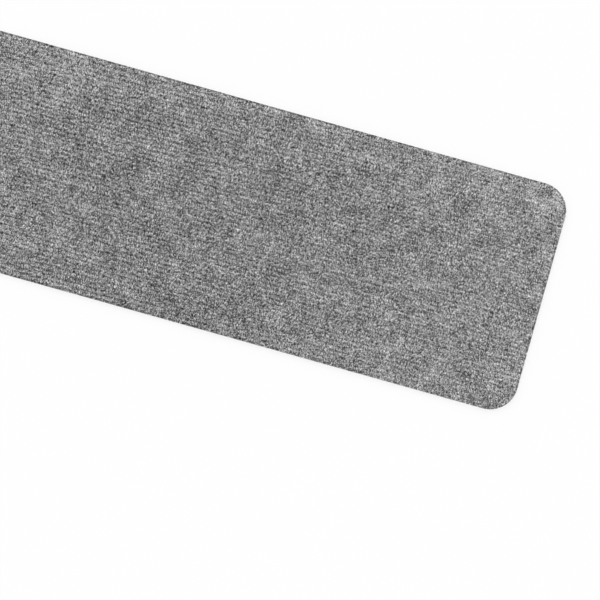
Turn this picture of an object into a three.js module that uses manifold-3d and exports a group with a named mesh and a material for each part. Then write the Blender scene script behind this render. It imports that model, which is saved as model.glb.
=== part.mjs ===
// Anti slip stair tread mat: a strip of ribbed needle-punched felt, its adhesive back and the release film.
// Millimetres, +Z up. +X runs along the stair, +Y across the tread from its front edge to the riser.
// The origin is the middle of the underside, so the mat lies on Z = 0.

import * as THREE from "three";
import { mergeVertices, toCreasedNormals } from "three/addons/utils/BufferGeometryUtils.js";
import Module from "manifold-3d";

// Plan, which one die cuts through every layer
const MAT_LENGTH = 760;
const MAT_WIDTH = 200;
const CORNER_RADIUS = 24;

// Layers, from the stair up
const FILM_THICKNESS = 0.1;
const ADHESIVE_THICKNESS = 0.4;
const FELT_BASE_THICKNESS = 2.3;

// Ribs, needled up out of the felt and running the whole length of the mat
const RIB_PITCH = 3.96;
const GROOVE_WIDTH = 0.7;
const RIB_HEIGHT = 1.2;

// The die drags the top edge of the felt down as it cuts
const CUT_EDGE_ROUND = 0.8;

// Facets of a corner, of half a rib and of the rounded edge
const CORNER_FACETS = 16;
const HALF_RIB_FACETS = 5;
const EDGE_FACETS = 3;
const SMOOTH_BELOW = THREE.MathUtils.degToRad(35);

// Heights that follow from the layers
const ADHESIVE_BOTTOM = FILM_THICKNESS;
const FELT_BOTTOM = ADHESIVE_BOTTOM + ADHESIVE_THICKNESS;
const FELT_THICKNESS = FELT_BASE_THICKNESS + RIB_HEIGHT;

const wasm = await Module();
wasm.setup();

const materials = {
  felt: new THREE.MeshStandardMaterial({ color: 0x868686, roughness: 0.95, metalness: 0 }),
  adhesive: new THREE.MeshStandardMaterial({ color: 0xf4f4f2, roughness: 0.45, metalness: 0 }),
  film: new THREE.MeshStandardMaterial({
    color: 0xe9eaea,
    roughness: 0.18,
    metalness: 0,
    transparent: true,
    opacity: 0.45,
  }),
};

// The outline of the die: a rectangle with four round corners, anticlockwise.
function dieOutline() {
  const x = MAT_LENGTH / 2 - CORNER_RADIUS;
  const y = MAT_WIDTH / 2 - CORNER_RADIUS;
  const quarter = Math.PI / 2;
  const outline = new THREE.Shape();
  outline.moveTo(-x, -y - CORNER_RADIUS);
  outline.absarc(x, -y, CORNER_RADIUS, -quarter, 0);
  outline.absarc(x, y, CORNER_RADIUS, 0, quarter);
  outline.absarc(-x, y, CORNER_RADIUS, quarter, 2 * quarter);
  outline.absarc(-x, -y, CORNER_RADIUS, 2 * quarter, 3 * quarter);
  return outline;
}

// A flat layer of the mat, with its underside on Z = 0.
function layer(thickness) {
  return new THREE.ExtrudeGeometry(dieOutline(), {
    depth: thickness,
    bevelEnabled: false,
    curveSegments: CORNER_FACETS / 2,
  });
}

// A geometry as a solid that can be cut. Only its places count, so corners that share one are merged.
function solidOf(geometry) {
  const bare = geometry.clone();
  bare.deleteAttribute("normal");
  bare.deleteAttribute("uv");
  const merged = mergeVertices(bare);
  return new wasm.Manifold(
    new wasm.Mesh({
      numProp: 3,
      vertProperties: new Float32Array(merged.attributes.position.array),
      triVerts: new Uint32Array(merged.index.array),
    }),
  );
}

// A solid as a geometry, shaded smoothly round each rib and sharply at the cut edge.
function geometryOf(solid) {
  const mesh = solid.getMesh();
  const geometry = new THREE.BufferGeometry();
  geometry.setAttribute("position", new THREE.BufferAttribute(mesh.vertProperties, mesh.numProp));
  geometry.setIndex(new THREE.BufferAttribute(mesh.triVerts, 1));
  return toCreasedNormals(geometry, SMOOTH_BELOW);
}

// The section of the felt web before it is cut: a flat base under a row of half-round ribs.
// A groove runs down the middle line, and the web is a rib wider than the mat on each side.
function webSection() {
  const ribsEachSide = Math.ceil(MAT_WIDTH / 2 / RIB_PITCH) + 1;
  const halfWeb = ribsEachSide * RIB_PITCH;
  const halfRib = (RIB_PITCH - GROOVE_WIDTH) / 2;
  const section = new THREE.Shape();
  section.moveTo(-halfWeb, 0);
  section.lineTo(halfWeb, 0);
  section.lineTo(halfWeb, FELT_BASE_THICKNESS);
  for (let rib = 0; rib < 2 * ribsEachSide; rib += 1) {
    const middle = halfWeb - (rib + 0.5) * RIB_PITCH;
    section.lineTo(middle + halfRib, FELT_BASE_THICKNESS);
    section.absellipse(middle, FELT_BASE_THICKNESS, halfRib, RIB_HEIGHT, 0, Math.PI);
  }
  section.lineTo(-halfWeb, FELT_BASE_THICKNESS);
  return section;
}

// The web of ribbed felt, longer than the mat by a rib's pitch at each end, with its underside on Z = 0.
function feltWeb() {
  const webLength = MAT_LENGTH + 2 * RIB_PITCH;
  const web = new THREE.ExtrudeGeometry(webSection(), {
    depth: webLength,
    bevelEnabled: false,
    curveSegments: HALF_RIB_FACETS,
  });
  // The section lies in the XY plane and is extruded along Z: it is turned to stand across the length.
  const across = new THREE.Vector3(0, 1, 0);
  const up = new THREE.Vector3(0, 0, 1);
  const along = new THREE.Vector3(1, 0, 0);
  web.applyMatrix4(new THREE.Matrix4().makeBasis(across, up, along));
  return web.translate(-webLength / 2, 0, 0);
}

// What the die leaves of the web: its outline, with the top edge rounded over.
// The lower edge is rounded alike, so it is kept below the felt.
function dieCut() {
  const below = CUT_EDGE_ROUND;
  const cut = new THREE.ExtrudeGeometry(dieOutline(), {
    depth: FELT_THICKNESS - CUT_EDGE_ROUND + below,
    bevelEnabled: true,
    bevelThickness: CUT_EDGE_ROUND,
    bevelSize: CUT_EDGE_ROUND,
    bevelOffset: -CUT_EDGE_ROUND,
    bevelSegments: EDGE_FACETS,
    curveSegments: CORNER_FACETS / 2,
  });
  return cut.translate(0, 0, -below);
}

function ribbedFelt() {
  return geometryOf(solidOf(feltWeb()).intersect(solidOf(dieCut())));
}

function piece(name, geometry, material, bottom) {
  const mesh = new THREE.Mesh(geometry, material);
  mesh.name = name;
  mesh.position.z = bottom;
  return mesh;
}

const mat = new THREE.Group();
mat.add(piece("ribbed_felt", ribbedFelt(), materials.felt, FELT_BOTTOM));
mat.add(piece("adhesive_backing", layer(ADHESIVE_THICKNESS), materials.adhesive, ADHESIVE_BOTTOM));
mat.add(piece("release_film", layer(FILM_THICKNESS), materials.film, 0));

export default mat;
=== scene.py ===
# The looks of an anti slip stair tread mat: ribbed needle-punched felt, a tacky coat and a release film.
import math
import random

import bmesh
import bpy
from mathutils import Matrix, Vector
from mathutils.bvhtree import BVHTree


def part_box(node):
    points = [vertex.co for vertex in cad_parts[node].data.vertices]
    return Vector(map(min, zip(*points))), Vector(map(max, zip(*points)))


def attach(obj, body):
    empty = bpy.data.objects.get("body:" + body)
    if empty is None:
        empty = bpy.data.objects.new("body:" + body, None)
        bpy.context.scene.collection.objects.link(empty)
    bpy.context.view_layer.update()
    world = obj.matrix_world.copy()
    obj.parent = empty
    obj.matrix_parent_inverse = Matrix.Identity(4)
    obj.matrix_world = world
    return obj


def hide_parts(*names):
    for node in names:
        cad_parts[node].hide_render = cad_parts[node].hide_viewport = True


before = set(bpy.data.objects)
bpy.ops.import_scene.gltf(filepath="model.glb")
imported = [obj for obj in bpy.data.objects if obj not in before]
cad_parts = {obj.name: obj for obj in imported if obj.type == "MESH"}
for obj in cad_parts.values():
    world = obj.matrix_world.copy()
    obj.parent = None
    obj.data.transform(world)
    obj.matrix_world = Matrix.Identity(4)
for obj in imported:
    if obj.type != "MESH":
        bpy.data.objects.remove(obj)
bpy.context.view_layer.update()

MM = 0.001

# Points and edges are told apart down to this length
NEAR = 0.01 * MM

# The mat's layers, read from its solids
felt_low, felt_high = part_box("ribbed_felt")
film_low, film_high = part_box("release_film")
LENGTH = felt_high.x - felt_low.x
WIDTH = felt_high.y - felt_low.y
FILM_THICKNESS = film_high.z - film_low.z

# The outline that the die cuts, and the round that it drags the felt's top edge to
CORNER_RADIUS = 24 * MM
CUT_EDGE_ROUND = 0.8 * MM

# How far a layer and the die reach past each other, up and down
OVERSHOOT = 0.8 * MM

# The ribs that the needles push up
FELT_BASE = 2.3 * MM
RIB_PITCH = 3.96 * MM
GROOVE_WIDTH = 0.7 * MM
GROOVE_FLOOR = felt_low.z + FELT_BASE
RIB_HEIGHT = felt_high.z - GROOVE_FLOOR

# The power that shapes a rib's section: at 0.5 it is half an ellipse, and at 1 a parabola
RIB_ROUNDNESS = 0.8

# Where the rows of points of a rib lie, from groove to crest and down again: close together where it is steep
HALF_RIB = (RIB_PITCH - GROOVE_WIDTH) / 2
RISING_ROWS = [-RIB_PITCH / 2, -HALF_RIB, -1.33 * MM, -0.75 * MM]
RIB_ROWS = RISING_ROWS + [0] + [-y for y in reversed(RISING_ROWS)]

# How often a rib is cut along its length, and then each of those lengths again
RIB_CUTS = (13, 15)

# Unevenness of the needling: how far apart and how deep its lumps are, how far apart and how wide its ribs
# wander to the sides, and the room for lumps under the die
RIB_LUMPS = (7 * MM, 0.9 * MM)
RIB_WANDER = (40 * MM, 2.5 * MM)
LUMP_ROOM = 0.3 * MM

# Steps of the die's outline, wall and round
CORNER_SEGMENTS = 20
LONG_SIDE_CUTS = 230
SHORT_SIDE_CUTS = 50
WALL_ROWS = 3
EDGE_STEPS = 3

# The wrinkles of the release film: how far apart and how deep they are, the level of a cloud that raises
# nothing, and how many times longer than wide they are, across the mat
FILM_WRINKLES = (5 * MM, 0.48 * MM)
WRINKLE_FLOOR = 0.07
WRINKLE_RUN = 6

# They stand over one stretch of the mat, and fade at its ends to a share that they have everywhere
WRINKLED_STRETCH = (-0.30 * LENGTH, 0.12 * LENGTH)
WRINKLE_FADE = 0.10 * LENGTH
FAINT_WRINKLES = 0.15

# How often the wrinkled sheet is cut along the mat, then each of those lengths again, and the same across it
BACK_CUTS = ((18, 19), (8, 8))

# The gap that keeps the film's face and the coat's apart, so that each shows cleanly
FILM_GAP = 0.015 * MM

# Loose fibres, each bowed to one of three depths. A staple is about 0.04 mm thick: it is drawn 0.16 mm
# thick, to show
FIBRE_RADIUS = 0.08 * MM
FIBRE_CUTS = 3
FACE_FIBRE_LENGTH = 3.4 * MM
FACE_FIBRE_BENDS = (0.3 * MM, 0.7 * MM, 1.1 * MM)
FACE_FIBRES = 7000

# How far a fibre's middle line lies above the felt, in which the fibre is half sunk
FIBRE_LIFT = 0.02 * MM

# Fibres at the cut: how far they stick out at most, and how far they turn to a side and up or down
EDGE_FIBRE_LENGTH = 2.0 * MM
EDGE_FIBRE_BENDS = (0.1 * MM, 0.3 * MM, 0.5 * MM)
EDGE_FIBRES = 2400
EDGE_FIBRE_REACH = 0.5 * MM
EDGE_FIBRE_SWING = math.radians(60)
EDGE_FIBRE_NOD = math.radians(10)


# Colours

def linear(hex_colour):
    """An sRGB hex colour as linear numbers with alpha."""
    levels = [int(hex_colour[i:i + 2], 16) / 255 for i in (1, 3, 5)]
    return [c / 12.92 if c <= 0.04045 else ((c + 0.055) / 1.055) ** 2.4 for c in levels] + [1]


# Modelling helpers

def add_primitive(operator, name, **settings):
    """A new primitive, alone in the selection."""
    bpy.ops.object.select_all(action="DESELECT")
    operator(**settings)
    made = bpy.context.object
    made.name = made.data.name = name
    return made


def pick(piece, kind, test):
    """Opens piece in edit mode with only those of its VERTs, EDGEs or FACEs selected that pass test.

    test is given the part's middle and the part itself.
    """
    if bpy.context.mode == "OBJECT":
        bpy.ops.object.select_all(action="DESELECT")
        bpy.context.view_layer.objects.active = piece
        bpy.ops.object.mode_set(mode="EDIT")
    bpy.ops.mesh.select_mode(type=kind)
    bpy.ops.mesh.select_all(action="DESELECT")
    shape = bmesh.from_edit_mesh(piece.data)
    parts = {"VERT": shape.verts, "EDGE": shape.edges, "FACE": shape.faces}[kind]
    for part in parts:
        corners = [part] if kind == "VERT" else part.verts
        part.select_set(test(sum((v.co for v in corners), Vector()) / len(corners), part))
    shape.select_flush_mode()
    bmesh.update_edit_mesh(piece.data)


def whole(middle, part):
    """A test that every part passes."""
    return True


def longer_along(axis, least):
    """A test for edges that reach further than least along an axis."""
    return lambda middle, part: abs((part.verts[0].co - part.verts[1].co)[axis]) > least


def put_down():
    """Leaves edit mode."""
    bpy.ops.object.mode_set(mode="OBJECT")


def turn_faces_out():
    """Closes the work on a piece that is open in edit mode: all its faces point outwards."""
    bpy.ops.mesh.select_all(action="SELECT")
    bpy.ops.mesh.normals_make_consistent(inside=False)
    put_down()


def finish_with(piece, kind, **settings):
    """Adds a modifier to piece and applies it."""
    modifier = piece.modifiers.new(kind.title(), kind)
    for name, value in settings.items():
        setattr(modifier, name, value)
    bpy.ops.object.select_all(action="DESELECT")
    piece.select_set(True)
    bpy.context.view_layer.objects.active = piece
    bpy.ops.object.modifier_apply(modifier=modifier.name)


def uneven(piece, name, size, direction, middle=0.5, group=""):
    """Makes a piece's surface uneven by clouds.

    size is how far apart they are and how deep, and middle is the level of a cloud that moves nothing.
    """
    clouds = bpy.data.textures.new(name, "CLOUDS")
    clouds.noise_scale, depth = size
    clouds.noise_depth = 2
    finish_with(piece, "DISPLACE", texture=clouds, texture_coords="LOCAL", strength=depth,
                mid_level=middle, direction=direction, vertex_group=group)


def mark(piece, name, domain, values):
    """Gives each POINT or FACE of a piece a number that its material reads."""
    piece.data.attributes.new(name, "FLOAT", domain).data.foreach_set("value", values)


# Bake maps

# The felt's top lies in four lengths, two by two, below strips for its sides, its ends and its underside
MAP_QUARTERS = [(0, 0, 0.5, 0.47), (0.5, 0, 0.5, 0.47), (0, 0.47, 0.5, 0.47), (0.5, 0.47, 0.5, 0.47)]
MAP_SIDES = [(0, 0.94, 1, 0.015), (0, 0.955, 1, 0.015)]
MAP_ENDS = [(0, 0.97, 0.5, 0.015), (0.5, 0.97, 0.5, 0.015)]
MAP_UNDERSIDE = (0, 0.985, 1, 0.015)

# The share of a cell that stays free along each of its sides
MAP_MARGIN = 0.015

# A face of the cut wall lies this near the outline at most, and its normal rises or falls less than this
WALL_INSET = 0.1 * MM
WALL_TILT = 0.5


def inset(place):
    """How far inside the die's outline a place lies, up to the corner radius."""
    over_x = max(0, abs(place.x) - (LENGTH / 2 - CORNER_RADIUS))
    over_y = max(0, abs(place.y) - (WIDTH / 2 - CORNER_RADIUS))
    return CORNER_RADIUS - math.hypot(over_x, over_y)


def in_cell(cell, along, across):
    """A place in one cell of a map, whose along and across run from 0 to 1."""
    left, low, wide, high = cell
    keep = 1 - 2 * MAP_MARGIN
    return left + wide * (MAP_MARGIN + keep * along), low + high * (MAP_MARGIN + keep * across)


def from_above(face, at):
    """A corner's place in a map that looks straight down."""
    return in_cell((0, 0, 1, 1), at.x / LENGTH + 0.5, at.y / WIDTH + 0.5)


def felt_layout(face, at):
    """A corner's place in the felt's map."""
    along = at.x / LENGTH + 0.5
    across = at.y / WIDTH + 0.5
    up = (at.z - felt_low.z) / (felt_high.z - felt_low.z)
    normal = face.normal
    if abs(normal.z) < WALL_TILT and inset(face.center) < WALL_INSET:
        if abs(normal.y) > abs(normal.x):
            return in_cell(MAP_SIDES[normal.y > 0], along, up)
        return in_cell(MAP_ENDS[normal.x > 0], across, up)
    if normal.z < -WALL_TILT and face.center.z < GROOVE_FLOOR / 2:
        return in_cell(MAP_UNDERSIDE, along, across)
    lengths = len(MAP_QUARTERS)
    quarter = min(lengths - 1, int((face.center.x / LENGTH + 0.5) * lengths))
    return in_cell(MAP_QUARTERS[quarter], along * lengths - quarter, across)


def bake_map(piece, layout):
    """Gives a piece the map that its colours are baked through when it is exported."""
    mesh = piece.data
    places = []
    for face in mesh.polygons:
        for corner in face.vertices:
            places += layout(face, mesh.vertices[corner].co)
    mesh.uv_layers.new(name="OFBake").uv.foreach_set("vector", places)


# The felt

def rib_height(offset):
    """How high a rib stands above the groove floor, at an offset from its middle line."""
    return RIB_HEIGHT * max(0, 1 - (offset / HALF_RIB) ** 2) ** RIB_ROUNDNESS


def needled_rib():
    """One rib of the felt's top, from groove middle to groove middle, a little longer than the mat."""
    rib = add_primitive(bpy.ops.mesh.primitive_plane_add, "rib", size=1)
    pick(rib, "VERT", whole)
    bpy.ops.transform.resize(value=(LENGTH + 2 * RIB_PITCH, RIB_PITCH, 1))
    bpy.ops.transform.translate(value=(0, 0, GROOVE_FLOOR))
    pick(rib, "EDGE", longer_along(1, RIB_PITCH / 2))
    bpy.ops.mesh.subdivide(number_cuts=len(RIB_ROWS) - 2)
    for row, offset in enumerate(RIB_ROWS):
        even = RIB_PITCH * (row / (len(RIB_ROWS) - 1) - 0.5)
        flat = Vector((0, even, GROOVE_FLOOR))
        pick(rib, "VERT", lambda middle, part: (middle - flat).yz.length < NEAR)
        bpy.ops.transform.translate(value=(0, offset - even, rib_height(offset)))
    for cuts in RIB_CUTS:
        pick(rib, "EDGE", longer_along(0, NEAR))
        bpy.ops.mesh.subdivide(number_cuts=cuts)
    put_down()
    # From -0.5 on the crest to 0.5 in the groove
    mark(rib, "groove", "POINT",
         [-0.5 * math.cos(2 * math.pi * v.co.y / RIB_PITCH) for v in rib.data.vertices])
    return rib


def felt_web():
    """The ribbed felt as it leaves the needle loom, wider and longer than the mat, as one closed solid."""
    web = needled_rib()
    web.name = web.data.name = "ribbed_felt_surface"
    ribs = 2 * (math.ceil(WIDTH / 2 / RIB_PITCH) + 1)
    pick(web, "VERT", whole)
    bpy.ops.transform.translate(value=(0, (1 - ribs) / 2 * RIB_PITCH, 0))
    put_down()
    finish_with(web, "ARRAY", count=ribs, use_relative_offset=False, use_constant_offset=True,
                constant_offset_displace=(0, RIB_PITCH, 0), use_merge_vertices=True,
                merge_threshold=NEAR)
    uneven(web, "rib_lumps", RIB_LUMPS, "NORMAL")
    uneven(web, "rib_wander", RIB_WANDER, "Y")
    pick(web, "EDGE", lambda middle, part: part.is_boundary)
    bpy.ops.mesh.extrude_edges_move()
    under = felt_low.z - OVERSHOOT
    bpy.ops.transform.resize(value=(1, 1, 0), center_override=(0, 0, under))
    bpy.ops.mesh.edge_face_add()
    turn_faces_out()
    return web


def die_plug(low, high, edge_round):
    """What the cutting die leaves standing between two heights, its top edge dragged round."""
    plug = add_primitive(bpy.ops.mesh.primitive_plane_add, "die_plug", size=1)
    pick(plug, "VERT", whole)
    bpy.ops.transform.resize(value=(LENGTH, WIDTH, 1))
    bpy.ops.transform.translate(value=(0, 0, low))
    bpy.ops.mesh.bevel(affect="VERTICES", offset=CORNER_RADIUS, segments=CORNER_SEGMENTS)
    for axis, cuts in ((0, LONG_SIDE_CUTS), (1, SHORT_SIDE_CUTS)):
        pick(plug, "EDGE", longer_along(axis, (LENGTH, WIDTH)[axis] / 2))
        bpy.ops.mesh.subdivide(number_cuts=cuts)
    pick(plug, "FACE", whole)
    for _ in range(WALL_ROWS):
        rise = (high - edge_round - low) / WALL_ROWS
        bpy.ops.mesh.extrude_region_move(TRANSFORM_OT_translate={"value": (0, 0, rise)})
    for step in range(EDGE_STEPS if edge_round else 0):
        start, end = (math.pi / 2 * (step + i) / EDGE_STEPS for i in (0, 1))
        rise = edge_round * (math.sin(end) - math.sin(start))
        bpy.ops.mesh.extrude_region_move(TRANSFORM_OT_translate={"value": (0, 0, rise)})
        shrink = edge_round * (math.cos(end) - math.cos(start))
        reach = [size / 2 - edge_round * (1 - math.cos(start)) for size in (LENGTH, WIDTH)]
        bpy.ops.transform.resize(value=(1 + shrink / reach[0], 1 + shrink / reach[1], 1),
                                 center_override=(0, 0, 0))
    turn_faces_out()
    mark(plug, "cut", "FACE", [1.0] * len(plug.data.polygons))
    return plug


def die_cut(web, low, high, edge_round=0):
    """Cuts a closed web to the mat's outline between two heights."""
    plug = die_plug(low, high, edge_round)
    finish_with(web, "BOOLEAN", operation="INTERSECT", solver="MANIFOLD", object=plug)
    bpy.data.objects.remove(plug)
    web.data.materials.clear()
    return web


def ribbed_felt():
    """The felt, cut to the mat's outline, with what its material and its map need."""
    felt = die_cut(felt_web(), felt_low.z, felt_high.z + LUMP_ROOM, CUT_EDGE_ROUND)
    mark(felt, "inset", "POINT", [inset(v.co) for v in felt.data.vertices])
    bake_map(felt, felt_layout)
    return felt


# The back: the release film and the tacky coat

def wrinkle_share(x):
    """How much of their height the film's wrinkles have at a place along the mat, from 0 to 1."""
    start, end = WRINKLED_STRETCH
    inside = min(x - start, end - x) / WRINKLE_FADE + 0.5
    return FAINT_WRINKLES + (1 - FAINT_WRINKLES) * min(1, max(0, inside))


def wrinkled_sheet(name, height):
    """The skin between film and tacky coat as an open sheet, its wrinkles rising from a height."""
    sheet = add_primitive(bpy.ops.mesh.primitive_plane_add, name, size=1)
    pick(sheet, "VERT", whole)
    bpy.ops.transform.resize(value=(LENGTH + 2 * RIB_PITCH, WIDTH + 2 * RIB_PITCH, 1))
    for axis, cuts in enumerate(BACK_CUTS):
        for number in cuts:
            pick(sheet, "EDGE", longer_along(axis, NEAR))
            bpy.ops.mesh.subdivide(number_cuts=number)
    # The sheet is narrow while the clouds shape it, so that they are long across the mat
    pick(sheet, "VERT", whole)
    bpy.ops.transform.resize(value=(1, 1 / WRINKLE_RUN, 1))
    put_down()
    stretch = sheet.vertex_groups.new(name="wrinkled_stretch")
    for vertex in sheet.data.vertices:
        stretch.add([vertex.index], wrinkle_share(vertex.co.x), "REPLACE")
    uneven(sheet, "film_wrinkles", FILM_WRINKLES, "Z", WRINKLE_FLOOR, stretch.name)
    sheet.vertex_groups.clear()
    pick(sheet, "VERT", whole)
    bpy.ops.transform.resize(value=(1, WRINKLE_RUN, 1))
    bpy.ops.transform.translate(value=(0, 0, height))
    return sheet


def release_film():
    """The release film: the wrinkled skin, made as thick as the film and cut to the mat's outline."""
    film = wrinkled_sheet("wrinkled_release_film", film_low.z)
    rise = FILM_THICKNESS - FILM_GAP
    bpy.ops.mesh.extrude_region_move(TRANSFORM_OT_translate={"value": (0, 0, rise)})
    turn_faces_out()
    return die_cut(film, film_low.z - OVERSHOOT, felt_low.z)


def tacky_coat():
    """The tacky coat: wrinkled like the film below and flat against the felt above."""
    coat = wrinkled_sheet("tacky_coat", film_high.z)
    bpy.ops.mesh.extrude_region_move(TRANSFORM_OT_translate={"value": (0, 0, 0)})
    over = felt_low.z + OVERSHOOT
    bpy.ops.transform.resize(value=(1, 1, 0), center_override=(0, 0, over))
    turn_faces_out()
    return die_cut(coat, film_low.z - OVERSHOOT, felt_low.z)


# Loose fibres

def bent_fibre(length, bend):
    """One crimped staple fibre along X, bent sideways into a bow of a given depth."""
    fibre = add_primitive(bpy.ops.mesh.primitive_cylinder_add, "fibre", vertices=3, radius=FIBRE_RADIUS,
                          depth=length, rotation=(0, math.pi / 2, 0))
    bpy.ops.object.transform_apply(location=False, rotation=True, scale=False)
    pick(fibre, "EDGE", longer_along(0, NEAR))
    bpy.ops.mesh.subdivide(number_cuts=FIBRE_CUTS)
    for row in range(1, FIBRE_CUTS + 1):
        place = row / (FIBRE_CUTS + 1)
        x = length * (place - 0.5)
        pick(fibre, "VERT", lambda middle, part: abs(middle.x - x) < NEAR)
        bpy.ops.transform.translate(value=(0, bend * math.sin(math.pi * place), 0))
    put_down()
    return fibre


def scattered(name, fibres, places, settle=None):
    """Copies of some fibres as one piece, which takes the fibres' place. places gives each copy's matrix.

    settle, where given, moves a point of a copy: it gets the point and how high that was in its fibre.
    """
    shapes = [([v.co.copy() for v in fibre.data.vertices], [tuple(p.vertices) for p in fibre.data.polygons])
              for fibre in fibres]
    points, faces = [], []
    for number, place in enumerate(places):
        corners, sides = shapes[number % len(shapes)]
        faces += [tuple(len(points) + i for i in side) for side in sides]
        for corner in corners:
            moved = place @ corner
            points.append(settle(moved, corner.z) if settle else moved)
    for fibre in fibres:
        bpy.data.objects.remove(fibre)
    mesh = bpy.data.meshes.new(name)
    mesh.from_pydata(points, [], faces)
    piece = bpy.data.objects.new(name, mesh)
    bpy.context.scene.collection.objects.link(piece)
    bake_map(piece, from_above)
    return piece


def face_fibres(name, felt, seed):
    """Fibres that lie loose over the ribs and follow them up and down."""
    draw = random.Random(seed)
    surface = BVHTree.FromObject(felt, bpy.context.evaluated_depsgraph_get())
    above = felt_high.z + OVERSHOOT

    def settle(point, rise):
        hit = surface.ray_cast(Vector((point.x, point.y, above)), Vector((0, 0, -1)))[0]
        return Vector((point.x, point.y, hit.z + FIBRE_LIFT + rise))

    places = []
    while len(places) < FACE_FIBRES:
        place = Vector((draw.uniform(-0.5, 0.5) * LENGTH, draw.uniform(-0.5, 0.5) * WIDTH, 0))
        turn = Matrix.Rotation(draw.uniform(0, 2 * math.pi), 4, "Z")
        if inset(place) > FACE_FIBRE_LENGTH / 2 + CUT_EDGE_ROUND:
            places.append(Matrix.Translation(place) @ turn)
    fibres = [bent_fibre(FACE_FIBRE_LENGTH, bend) for bend in FACE_FIBRE_BENDS]
    return scattered(name, fibres, places, settle)


def along_outline(distance):
    """A place on the die's outline, at a distance along it, and the way out of the felt there."""
    half_x = LENGTH / 2 - CORNER_RADIUS
    half_y = WIDTH / 2 - CORNER_RADIUS
    corner_middles = ((half_x, half_y), (-half_x, half_y), (-half_x, -half_y), (half_x, -half_y))
    for side, middle in enumerate(corner_middles):
        facing = side * math.pi / 2
        straight = 2 * (half_y, half_x)[side % 2]
        round_corner = max(0, distance - straight) / CORNER_RADIUS
        if round_corner < math.pi / 2:
            break
        distance -= straight + CORNER_RADIUS * math.pi / 2
    out = Vector((math.cos(facing + round_corner), math.sin(facing + round_corner), 0))
    back = max(0, straight - distance)
    run = Vector((-math.sin(facing), math.cos(facing), 0))
    return Vector((*middle, 0)) + CORNER_RADIUS * out - back * run, out


def edge_fibres(name, seed):
    """Short fibres that the die has left sticking out of the cut edge, one for each step along it."""
    draw = random.Random(seed)
    outline = 2 * (LENGTH + WIDTH) - (8 - 2 * math.pi) * CORNER_RADIUS
    places = []
    for number in range(EDGE_FIBRES):
        place, out = along_outline(outline * (number + draw.random()) / EDGE_FIBRES)
        height = draw.uniform(felt_low.z + EDGE_FIBRE_LENGTH / 2, GROOVE_FLOOR)
        tip = place + out * draw.uniform(0, EDGE_FIBRE_REACH) + Vector((0, 0, height))
        facing = math.atan2(out.y, out.x)
        swing = Matrix.Rotation(facing + draw.uniform(-1, 1) * EDGE_FIBRE_SWING, 4, "Z")
        nod = Matrix.Rotation(draw.uniform(-1, 1) * EDGE_FIBRE_NOD, 4, "Y")
        roll = Matrix.Rotation(draw.uniform(-1, 1) * EDGE_FIBRE_SWING, 4, "X")
        inwards = Matrix.Translation((-EDGE_FIBRE_LENGTH / 2, 0, 0))
        places.append(Matrix.Translation(tip) @ swing @ nod @ inwards @ roll)
    fibres = [bent_fibre(EDGE_FIBRE_LENGTH, bend) for bend in EDGE_FIBRE_BENDS]
    return scattered(name, fibres, places)


# Materials

def add_node(tree, kind, inputs=None, **settings):
    """Adds a node. inputs gives a number, a colour or another node's output for each input."""
    made = tree.nodes.new(kind)
    for name, value in settings.items():
        setattr(made, name, value)
    for key, value in (inputs or {}).items():
        if isinstance(value, bpy.types.NodeSocket):
            tree.links.new(value, made.inputs[key])
        else:
            made.inputs[key].default_value = value
    return made


def new_material(name):
    """A material, its node tree, and the Object coordinates in that tree."""
    material = bpy.data.materials.new(name)
    material.use_nodes = True
    tree = material.node_tree
    tree.nodes.clear()
    place = add_node(tree, "ShaderNodeTexCoord").outputs["Object"]
    return material, tree, place


def finish_material(tree, **inputs):
    """Ends a material in a Principled shader with these inputs, by name with _ for a space."""
    named = {name.replace("_", " "): value for name, value in inputs.items()}
    shader = add_node(tree, "ShaderNodeBsdfPrincipled", named)
    add_node(tree, "ShaderNodeOutputMaterial", {"Surface": shader.outputs["BSDF"]})


def drifting(tree, start, patterns, detail=0.0):
    """A number that drifts about start. Each pattern has its place, the size of its lumps and its share.

    detail is how many finer layers a pattern has.
    """
    total = start - sum(share for _, _, share in patterns) / 2
    for place, size, share in patterns:
        lumps = add_node(tree, "ShaderNodeTexNoise", {
            "Vector": place, "Scale": 1 / size, "Detail": detail}).outputs["Fac"]
        total = add_node(tree, "ShaderNodeMath", {0: lumps, 1: share, 2: total},
                         operation="MULTIPLY_ADD").outputs["Value"]
    return total


# A tone is as the eye sees it, and is 1 where a colour is plain. This power turns it to light
TONE_POWER = 2.2


def toned(tree, hex_colour, tone):
    """A colour that a tone makes paler or darker from place to place."""
    light = add_node(tree, "ShaderNodeMath", {0: tone, 1: TONE_POWER}, operation="POWER").outputs["Value"]
    return add_node(tree, "ShaderNodeVectorMath", {0: linear(hex_colour)[:3], "Scale": light},
                    operation="SCALE").outputs["Vector"]


FELT_COLOUR = "#848484"

# No staple in the blend is paler than this tone, and the pale ones shade into the rest
PALEST_STAPLE = 1.95
PALE_BLEND = 0.97

# Strands of fibre: the way they lie in degrees, how thick they are and their share. A strand is twice as long
# as it is thick here, because on the felt it dives in again. The needles drag them across the ribs.
# A bundle of staples is 0.2 to 0.3 mm thick: it is drawn two to three times as thick, to show.
STRANDS = [(8, 0.6 * MM, 1.27), (55, 0.65 * MM, 1.91), (92, 0.75 * MM, 2.69), (128, 0.65 * MM, 1.91)]
STRAND_SLENDER = 2
STRAND_DETAIL = 1.0
STRAND_RELIEF = 0.077 * MM

# Tufts and the uneven blending of dark and pale staple: how large they are and their share, from the tuft
# that one needle pulls to clouds over half the mat's width
TUFTS = [(1.8 * MM, 0.80), (3.1 * MM, 0.25), (6.2 * MM, 0.25), (12.5 * MM, 0.26),
         (25 * MM, 0.25), (110 * MM, 0.08)]

# Needling pulls the pattern down into the felt, so it is this many times longer there
NEEDLED_DEPTH = 3

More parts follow.
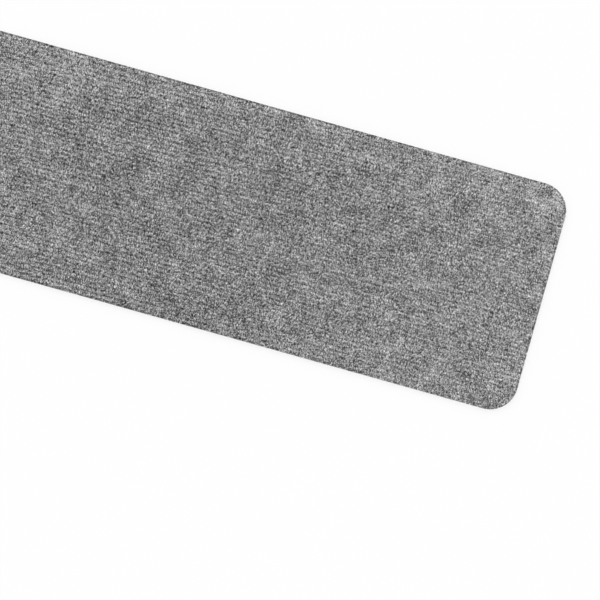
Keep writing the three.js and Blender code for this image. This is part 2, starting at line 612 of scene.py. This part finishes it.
# How much paler a groove is than the crests beside it: from the left-hand end to the middle of the mat, and
# at its right-hand end. Over most of the mat this is painted shade in the grooves; towards that end it turns
# to painted light in the grooves and painted shade on the crests, against the ribs' own shading, so the ribs
# fade
PAINTED_GROOVE_SHADING = (-0.085, 0.13)

# Felt is rough all over, and its pale strands a little less so
FELT_ROUGHNESS = 0.94
STRAND_GLOSS = 0.06

# The cut wall and its round are darkened by painted shade and their strands show less, and painted shade
# darkens a rim of the face along the cut
CUT_SHADE = 0.16
CUT_STRANDS = 0.55
RIM = 2.5 * MM
RIM_SHADE = 0.15

# The web is even over this stretch each side of its darkest place, and gets paler beyond it, as it does
# along its far edge
DARKEST_PLACE = 70 * MM
EVEN_STRETCH = 60 * MM
PALE_STRETCH = 320 * MM
END_PALER = 0.1
EDGE_PALER_FROM = 40 * MM
EDGE_PALER = 0.078

# Where the patterns start, in metres: off the mat, because all noise is alike at its origin. Each layer of
# strands starts further off than the one before, by this share
PATTERN_ORIGIN = (2.1, 0.7, 0)
LAYER_STEP = 0.37


def felt_material():
    """Needle-punched polyester felt of dark, mid and pale grey staple fibre.

    To the eye: a dull, grainy heather grey without gloss, faintly rowed, with a soft bloom at low angles.
    """
    material, tree, place = new_material("needle_punched_polyester_felt")
    laid = []
    for number, (angle, width, share) in enumerate(STRANDS):
        origin = Vector(PATTERN_ORIGIN) * (1 + LAYER_STEP * number)
        layer = add_node(tree, "ShaderNodeMapping", {
            "Vector": place, "Location": origin, "Rotation": (0, 0, math.radians(angle)),
            "Scale": (STRAND_SLENDER, 1, NEEDLED_DEPTH)}, vector_type="TEXTURE").outputs["Vector"]
        laid.append((layer, width, share))
    strands = drifting(tree, 0, laid, STRAND_DETAIL)
    needled = add_node(tree, "ShaderNodeMapping", {
        "Vector": place, "Location": [-x for x in PATTERN_ORIGIN], "Scale": (1, 1, NEEDLED_DEPTH)},
        vector_type="TEXTURE").outputs["Vector"]
    tone = drifting(tree, 1, [(needled, size, share) for size, share in TUFTS])
    at = add_node(tree, "ShaderNodeSeparateXYZ", {"Vector": place}).outputs
    beside = add_node(tree, "ShaderNodeMath", {0: at["X"], 1: DARKEST_PLACE}, operation="SUBTRACT")
    off_darkest = add_node(tree, "ShaderNodeMath", {0: beside.outputs["Value"]}, operation="ABSOLUTE")
    groove, cut, inside = (
        add_node(tree, "ShaderNodeAttribute", attribute_name=name).outputs["Fac"]
        for name in ("groove", "cut", "inset"))
    # Each row adds a pattern to the tone, times a factor. While a value runs from low to high, the factor
    # runs from the first number of the last pair to the second
    for pattern, value, (low, high), (at_low, at_high) in (
            (strands, cut, (0, 1), (1, CUT_STRANDS)),
            # Painted shade in the grooves, turning to painted light in them towards the right-hand end
            (groove, at["X"], (0, LENGTH / 2), PAINTED_GROOVE_SHADING),
            # Painted shade on the cut wall and its round
            (1, cut, (0, 1), (0, -CUT_SHADE)),
            # Painted shade along a rim of the face by the cut
            (1, inside, (0, RIM), (-RIM_SHADE, 0)),
            (1, off_darkest.outputs["Value"], (EVEN_STRETCH, PALE_STRETCH), (0, END_PALER)),
            (1, at["Y"], (EDGE_PALER_FROM, WIDTH / 2), (0, EDGE_PALER))):
        factor = add_node(tree, "ShaderNodeMapRange", {
            "Value": value, "From Min": low, "From Max": high, "To Min": at_low, "To Max": at_high})
        tone = add_node(tree, "ShaderNodeMath", {0: pattern, 1: factor.outputs["Result"], 2: tone},
                        operation="MULTIPLY_ADD").outputs["Value"]
    tone = add_node(tree, "ShaderNodeMath", {0: tone, 1: PALEST_STAPLE, 2: PALE_BLEND},
                    operation="SMOOTH_MIN").outputs["Value"]
    bump = add_node(tree, "ShaderNodeBump", {"Height": strands, "Distance": STRAND_RELIEF})
    dull = add_node(tree, "ShaderNodeMath", {0: strands, 1: -STRAND_GLOSS, 2: FELT_ROUGHNESS},
                    operation="MULTIPLY_ADD").outputs["Value"]
    finish_material(tree, Base_Color=toned(tree, FELT_COLOUR, tone), Roughness=dull, Specular_IOR_Level=0.2,
                    Normal=bump.outputs["Normal"], Sheen_Weight=0.08, Sheen_Roughness=0.6)
    return material


DARK_STAPLE = "#3d3d3d"
MID_STAPLE = "#878787"
PALE_STAPLE = "#adadad"

# How far apart the changes of tone and of roughness are, and how strong
STAPLE_DRIFT = (12 * MM, 0.2)
STAPLE_ROUGHNESS = 0.7
STAPLE_CRIMP = (3 * MM, 0.2)


def fibre_material(name, hex_colour):
    """Drawn polyester staple, dyed in the mass. To the eye: fine dull threads with a slight sheen."""
    material, tree, place = new_material(name)
    tone = drifting(tree, 1, [(place, *STAPLE_DRIFT)])
    dull = drifting(tree, STAPLE_ROUGHNESS, [(place, *STAPLE_CRIMP)])
    finish_material(tree, Base_Color=toned(tree, hex_colour, tone), Roughness=dull, Specular_IOR_Level=0.3)
    return material


COAT_COLOUR = "#f4f4f4"

# The size and share of its clouds, its grain as it was spread, and the patches that are more or less satin
COAT_CLOUDS = [(4 * MM, 0.03), (40 * MM, 0.03)]
COAT_GRAIN = 1.2 * MM
COAT_RELIEF = 0.03 * MM
COAT_ROUGHNESS = 0.45
COAT_PATCHES = (6 * MM, 0.2)


def coat_material():
    """White tacky acrylic coat, spread hot. To the eye: milky white, satin, slightly cloudy."""
    material, tree, place = new_material("white_tacky_acrylic_coat")
    tone = drifting(tree, 1, [(place, size, share) for size, share in COAT_CLOUDS])
    grain = drifting(tree, 0, [(place, COAT_GRAIN, 1)])
    bump = add_node(tree, "ShaderNodeBump", {"Height": grain, "Distance": COAT_RELIEF})
    satin = drifting(tree, COAT_ROUGHNESS, [(place, *COAT_PATCHES)])
    finish_material(tree, Base_Color=toned(tree, COAT_COLOUR, tone), Roughness=satin,
                    Normal=bump.outputs["Normal"])
    return material


FILM_COLOUR = "#eeefef"
FILM_OPACITY = 0.45

# How wide and deep its fine creases are, and the size and strength of the patches that are rubbed dull
FILM_CREASE = 2.4 * MM
FILM_RELIEF = 0.25 * MM
FILM_ROUGHNESS = 0.18
FILM_RUBBED = (9 * MM, 0.12)


def film_material():
    """Clear siliconised polyester release film. To the eye: glossy and colourless, creased across."""
    material, tree, place = new_material("clear_siliconised_polyester_film")
    across = add_node(tree, "ShaderNodeMapping", {"Vector": place, "Scale": (1, WRINKLE_RUN, 1)},
                      vector_type="TEXTURE").outputs["Vector"]
    creases = drifting(tree, 0, [(across, FILM_CREASE, 1)])
    bump = add_node(tree, "ShaderNodeBump", {"Height": creases, "Distance": FILM_RELIEF})
    gloss = drifting(tree, FILM_ROUGHNESS, [(across, *FILM_RUBBED)])
    finish_material(tree, Base_Color=linear(FILM_COLOUR), Roughness=gloss, Alpha=FILM_OPACITY,
                    Normal=bump.outputs["Normal"])
    return material


# Camera: straight down on the mat's right-hand part, turned as in the photograph

PHOTO_SIDE = 600
PHOTO_MM_PER_PIXEL = 0.8562
PHOTO_TILT = math.radians(15.64)

# The place on the mat that is in the middle of the photograph
PHOTO_MIDDLE = (180.4 * MM, -52.9 * MM)

# The lens and its sensor in mm. The lens is long, because the photograph shows no perspective
LENS = 250
SENSOR = 36


def camera():
    """The camera at the photograph's viewing angle."""
    data = bpy.data.cameras.new("camera")
    data.lens = LENS
    data.sensor_width = SENSOR
    seen = PHOTO_SIDE * PHOTO_MM_PER_PIXEL * MM
    made = bpy.data.objects.new("camera", data)
    made.location = (*PHOTO_MIDDLE, felt_high.z + seen * LENS / SENSOR)
    made.rotation_euler = (0, 0, PHOTO_TILT)
    bpy.context.scene.collection.objects.link(made)
    bpy.context.scene.camera = made


# Light: a soft sky and a wide window above the mat's far edge, which together light a level face by 1

WHITE = "#ffffff"
SKY_LEVEL = 0.72
WINDOW_LEVEL = 1.25

# How wide the window looks, how far it is from overhead, and how far to one side, in degrees
WINDOW_WIDTH = 60
WINDOW_SLANT = 45
WINDOW_SIDE = 20


def lamps():
    """The studio light."""
    world = bpy.data.worlds.new("soft_sky")
    world.use_nodes = True
    background = world.node_tree.nodes["Background"]
    background.inputs["Color"].default_value = linear(WHITE)
    background.inputs["Strength"].default_value = SKY_LEVEL
    bpy.context.scene.world = world
    lamp = bpy.data.lights.new("window", "SUN")
    lamp.energy = WINDOW_LEVEL
    lamp.angle = math.radians(WINDOW_WIDTH)
    made = bpy.data.objects.new("window", lamp)
    made.rotation_euler = (math.radians(-WINDOW_SLANT), 0, PHOTO_TILT + math.radians(WINDOW_SIDE))
    bpy.context.scene.collection.objects.link(made)


# Floor

# Its width in metres, its own colour, and how much of it is plain white to the camera instead
FLOOR_SIZE = 24
FLOOR_COLOUR = "#fbfbfb"
FLOOR_WHITENING = 0.8


def floor():
    """White paper, which the camera sees whiter than it is lit, and on which the mat's shadow stays."""
    made = add_primitive(bpy.ops.mesh.primitive_plane_add, "floor", size=FLOOR_SIZE,
                         location=(0, 0, film_low.z))
    material, tree, _ = new_material("white_paper_floor")
    paper = add_node(tree, "ShaderNodeBsdfDiffuse", {"Color": linear(FLOOR_COLOUR)}).outputs["BSDF"]
    white = add_node(tree, "ShaderNodeEmission", {"Color": linear(WHITE)}).outputs["Emission"]
    rays = add_node(tree, "ShaderNodeLightPath").outputs
    seen = rays["Is Camera Ray"]
    for kind in ("Is Glossy Ray", "Is Transmission Ray"):
        seen = add_node(tree, "ShaderNodeMath", {0: seen, 1: rays[kind]},
                        operation="MAXIMUM").outputs["Value"]
    share = add_node(tree, "ShaderNodeMath", {0: seen, 1: FLOOR_WHITENING},
                     operation="MULTIPLY").outputs["Value"]
    mixed = add_node(tree, "ShaderNodeMixShader", {0: share, 1: paper, 2: white}).outputs["Shader"]
    add_node(tree, "ShaderNodeOutputMaterial", {"Surface": mixed})
    made.data.materials.append(material)


# The mat

def dress(piece, material, node=None):
    """Gives a piece its material, and its place in the frame."""
    piece.data.materials.append(material)
    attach(piece, "root")
    if node:
        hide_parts(node)


felt = ribbed_felt()
coat = tacky_coat()
film = release_film()
dark_fibres = face_fibres("dark_loose_fibres", felt, seed=11)
pale_fibres = face_fibres("pale_loose_fibres", felt, seed=12)
cut_fibres = edge_fibres("cut_edge_fibres", seed=13)
dress(felt, felt_material(), "ribbed_felt")
dress(coat, coat_material(), "adhesive_backing")
dress(film, film_material(), "release_film")
dress(dark_fibres, fibre_material("dark_grey_polyester_staple", DARK_STAPLE))
dress(pale_fibres, fibre_material("pale_grey_polyester_staple", PALE_STAPLE))
dress(cut_fibres, fibre_material("mid_grey_polyester_staple", MID_STAPLE))

camera()
lamps()
floor()
bpy.context.scene.view_settings.view_transform = "Standard"
